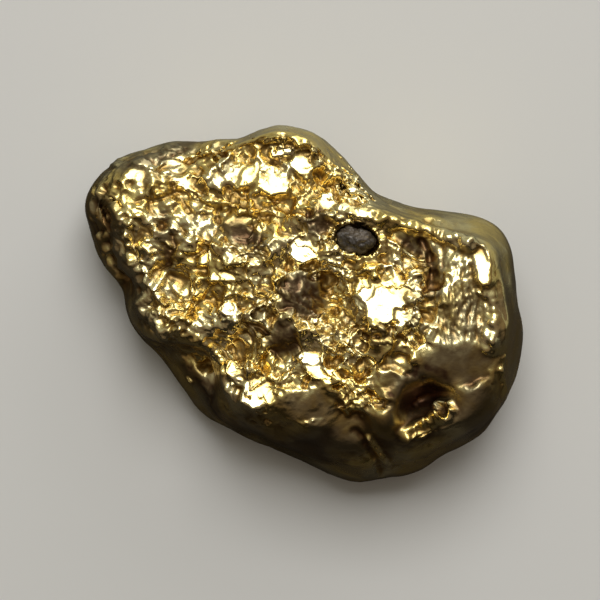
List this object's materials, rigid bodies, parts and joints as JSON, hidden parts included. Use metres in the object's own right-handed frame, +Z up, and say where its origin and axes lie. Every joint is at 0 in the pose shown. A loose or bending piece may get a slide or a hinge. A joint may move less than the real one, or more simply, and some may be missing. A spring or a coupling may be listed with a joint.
{
  "type": "gold nugget",
  "caption": "Irregular flattened natural gold nugget with a rough, hackly upper face, smooth rounded sides, deep pits and a dark mineral grain set in a hollow.",
  "frame": {"origin": "on the surface that the nugget lies on, under the middle of its outline", "axes": "+X along the nugget's length, towards its broad smooth end; +Y towards the edge with the notch by the dark grain; +Z up, out of the rough upper face"},
  "size_m": [0.0112, 0.009, 0.0046],
  "materials": {
    "gold": "bright natural gold, hackly on the upper face and worn smooth on the sides, with brown staining in the hollows",
    "dark_mineral": "dull grey-black iron mineral with a weak metallic sheen"
  },
  "bodies": {
    "root": {"gold_nugget": "gold", "dark_mineral_grain": "dark_mineral"}
  },
  "joints": []
}
